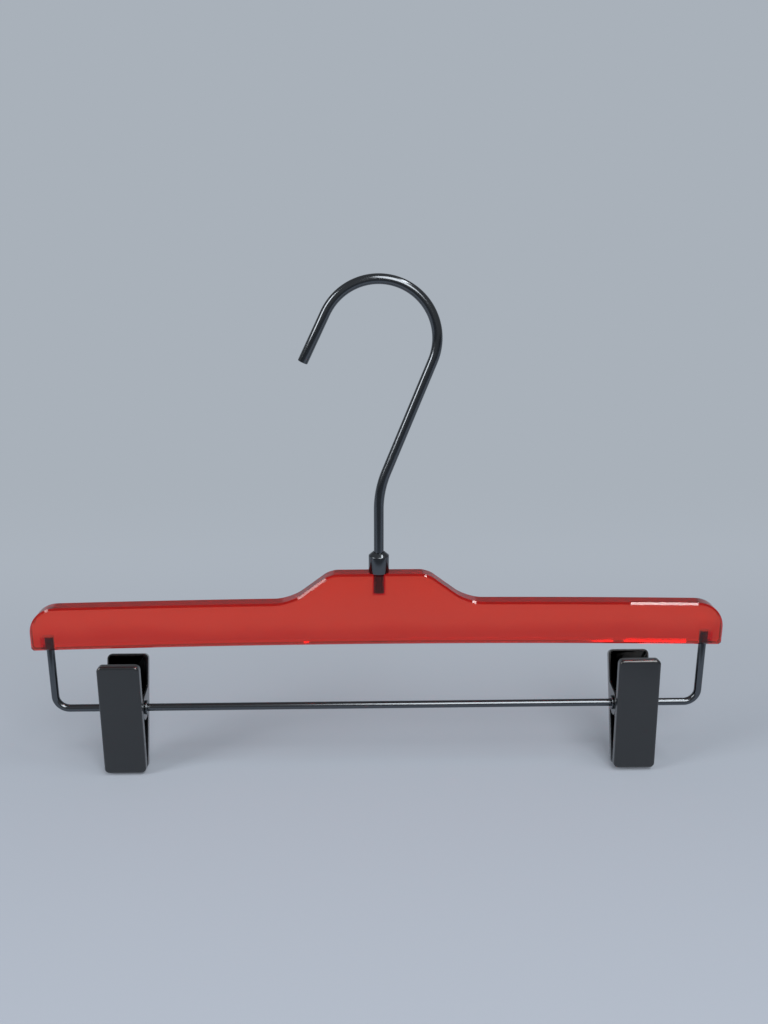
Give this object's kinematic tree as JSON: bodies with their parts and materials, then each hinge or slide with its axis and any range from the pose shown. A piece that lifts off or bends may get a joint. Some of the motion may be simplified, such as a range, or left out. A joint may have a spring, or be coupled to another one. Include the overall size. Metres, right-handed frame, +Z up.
{
  "type": "trouser hanger",
  "caption": "Trouser hanger: a clear plate body with a hump, a swivelling wire hook and sprung clips that slide and turn on a wire bar below it.",
  "frame": {"origin": "the seat under the top of the hook, where the hanger rests on a rail, in the middle plane of the body", "axes": "+X along the body towards the side that the hook's neck leans to, +Y to the back, +Z up"},
  "size_m": [0.3, 0.0261, 0.217],
  "materials": {
    "clear_red_acrylic": "clear red cast acrylic with polished faces and edges",
    "plated_wire": "steel wire with a glossy black nickel plate",
    "plated_collar": "turned collar with a glossy black nickel plate",
    "insert_metal": "dark plated brass with straight knurls",
    "bush_metal": "dark plated brass",
    "satin_jaw": "pressed steel with a satin dark grey coat",
    "rivet_metal": "rolled tubular rivet with a glossy black nickel plate",
    "spring_steel": "bare drawn spring steel",
    "pad_rubber": "matt black rubber"
  },
  "bodies": {
    "hook": {"hook": "plated_wire", "hook_ring": "spring_steel"},
    "hanger": {"hanger_body": "clear_red_acrylic", "hook_collar": "plated_collar", "hook_insert": "insert_metal", "clip_bar": "plated_wire", "left_bar_bush": "bush_metal", "right_bar_bush": "bush_metal"},
    "left_rivet": {"left_pivot_rivet": "rivet_metal"},
    "left_back": {"left_back_jaw": "satin_jaw", "left_back_pad": "pad_rubber", "left_spring": "spring_steel"},
    "left_front": {"left_front_jaw": "satin_jaw", "left_front_pad": "pad_rubber"},
    "right_rivet": {"right_pivot_rivet": "rivet_metal"},
    "right_back": {"right_back_jaw": "satin_jaw", "right_back_pad": "pad_rubber", "right_spring": "spring_steel"},
    "right_front": {"right_front_jaw": "satin_jaw", "right_front_pad": "pad_rubber"}
  },
  "joints": [
    {"name": "hook_swivel", "type": "hinge", "parent": "hook", "child": "hanger", "pos_m": [0, 0, -0.115], "axis": [0, 0, 1], "continuous": true},
    {"name": "left_clip_slide", "type": "slide", "parent": "hanger", "child": "left_rivet", "axis": [1, 0, 0], "range_m": [-0.0138, 0.102]},
    {"name": "left_clip_swing", "type": "hinge", "parent": "left_rivet", "child": "left_back", "pos_m": [-0.1127, 0, -0.18361], "axis": [1, 0, 0], "continuous": true},
    {"name": "left_clip_open", "type": "hinge", "parent": "left_back", "child": "left_front", "pos_m": [-0.1127, 0, -0.18361], "axis": [-1, 0, 0], "range_deg": [0, 30], "stiffness_Nm_per_rad": 0.1, "springref_deg": -34.38, "deforming": ["left_spring"]},
    {"name": "right_clip_slide", "type": "slide", "parent": "hanger", "child": "right_rivet", "axis": [1, 0, 0], "range_m": [-0.1034, 0.0124]},
    {"name": "right_clip_swing", "type": "hinge", "parent": "right_rivet", "child": "right_back", "pos_m": [0.1141, 0, -0.18361], "axis": [1, 0, 0], "continuous": true},
    {"name": "right_clip_open", "type": "hinge", "parent": "right_back", "child": "right_front", "pos_m": [0.1141, 0, -0.18361], "axis": [-1, 0, 0], "range_deg": [0, 30], "stiffness_Nm_per_rad": 0.1, "springref_deg": -34.38, "deforming": ["right_spring"]}
  ]
}
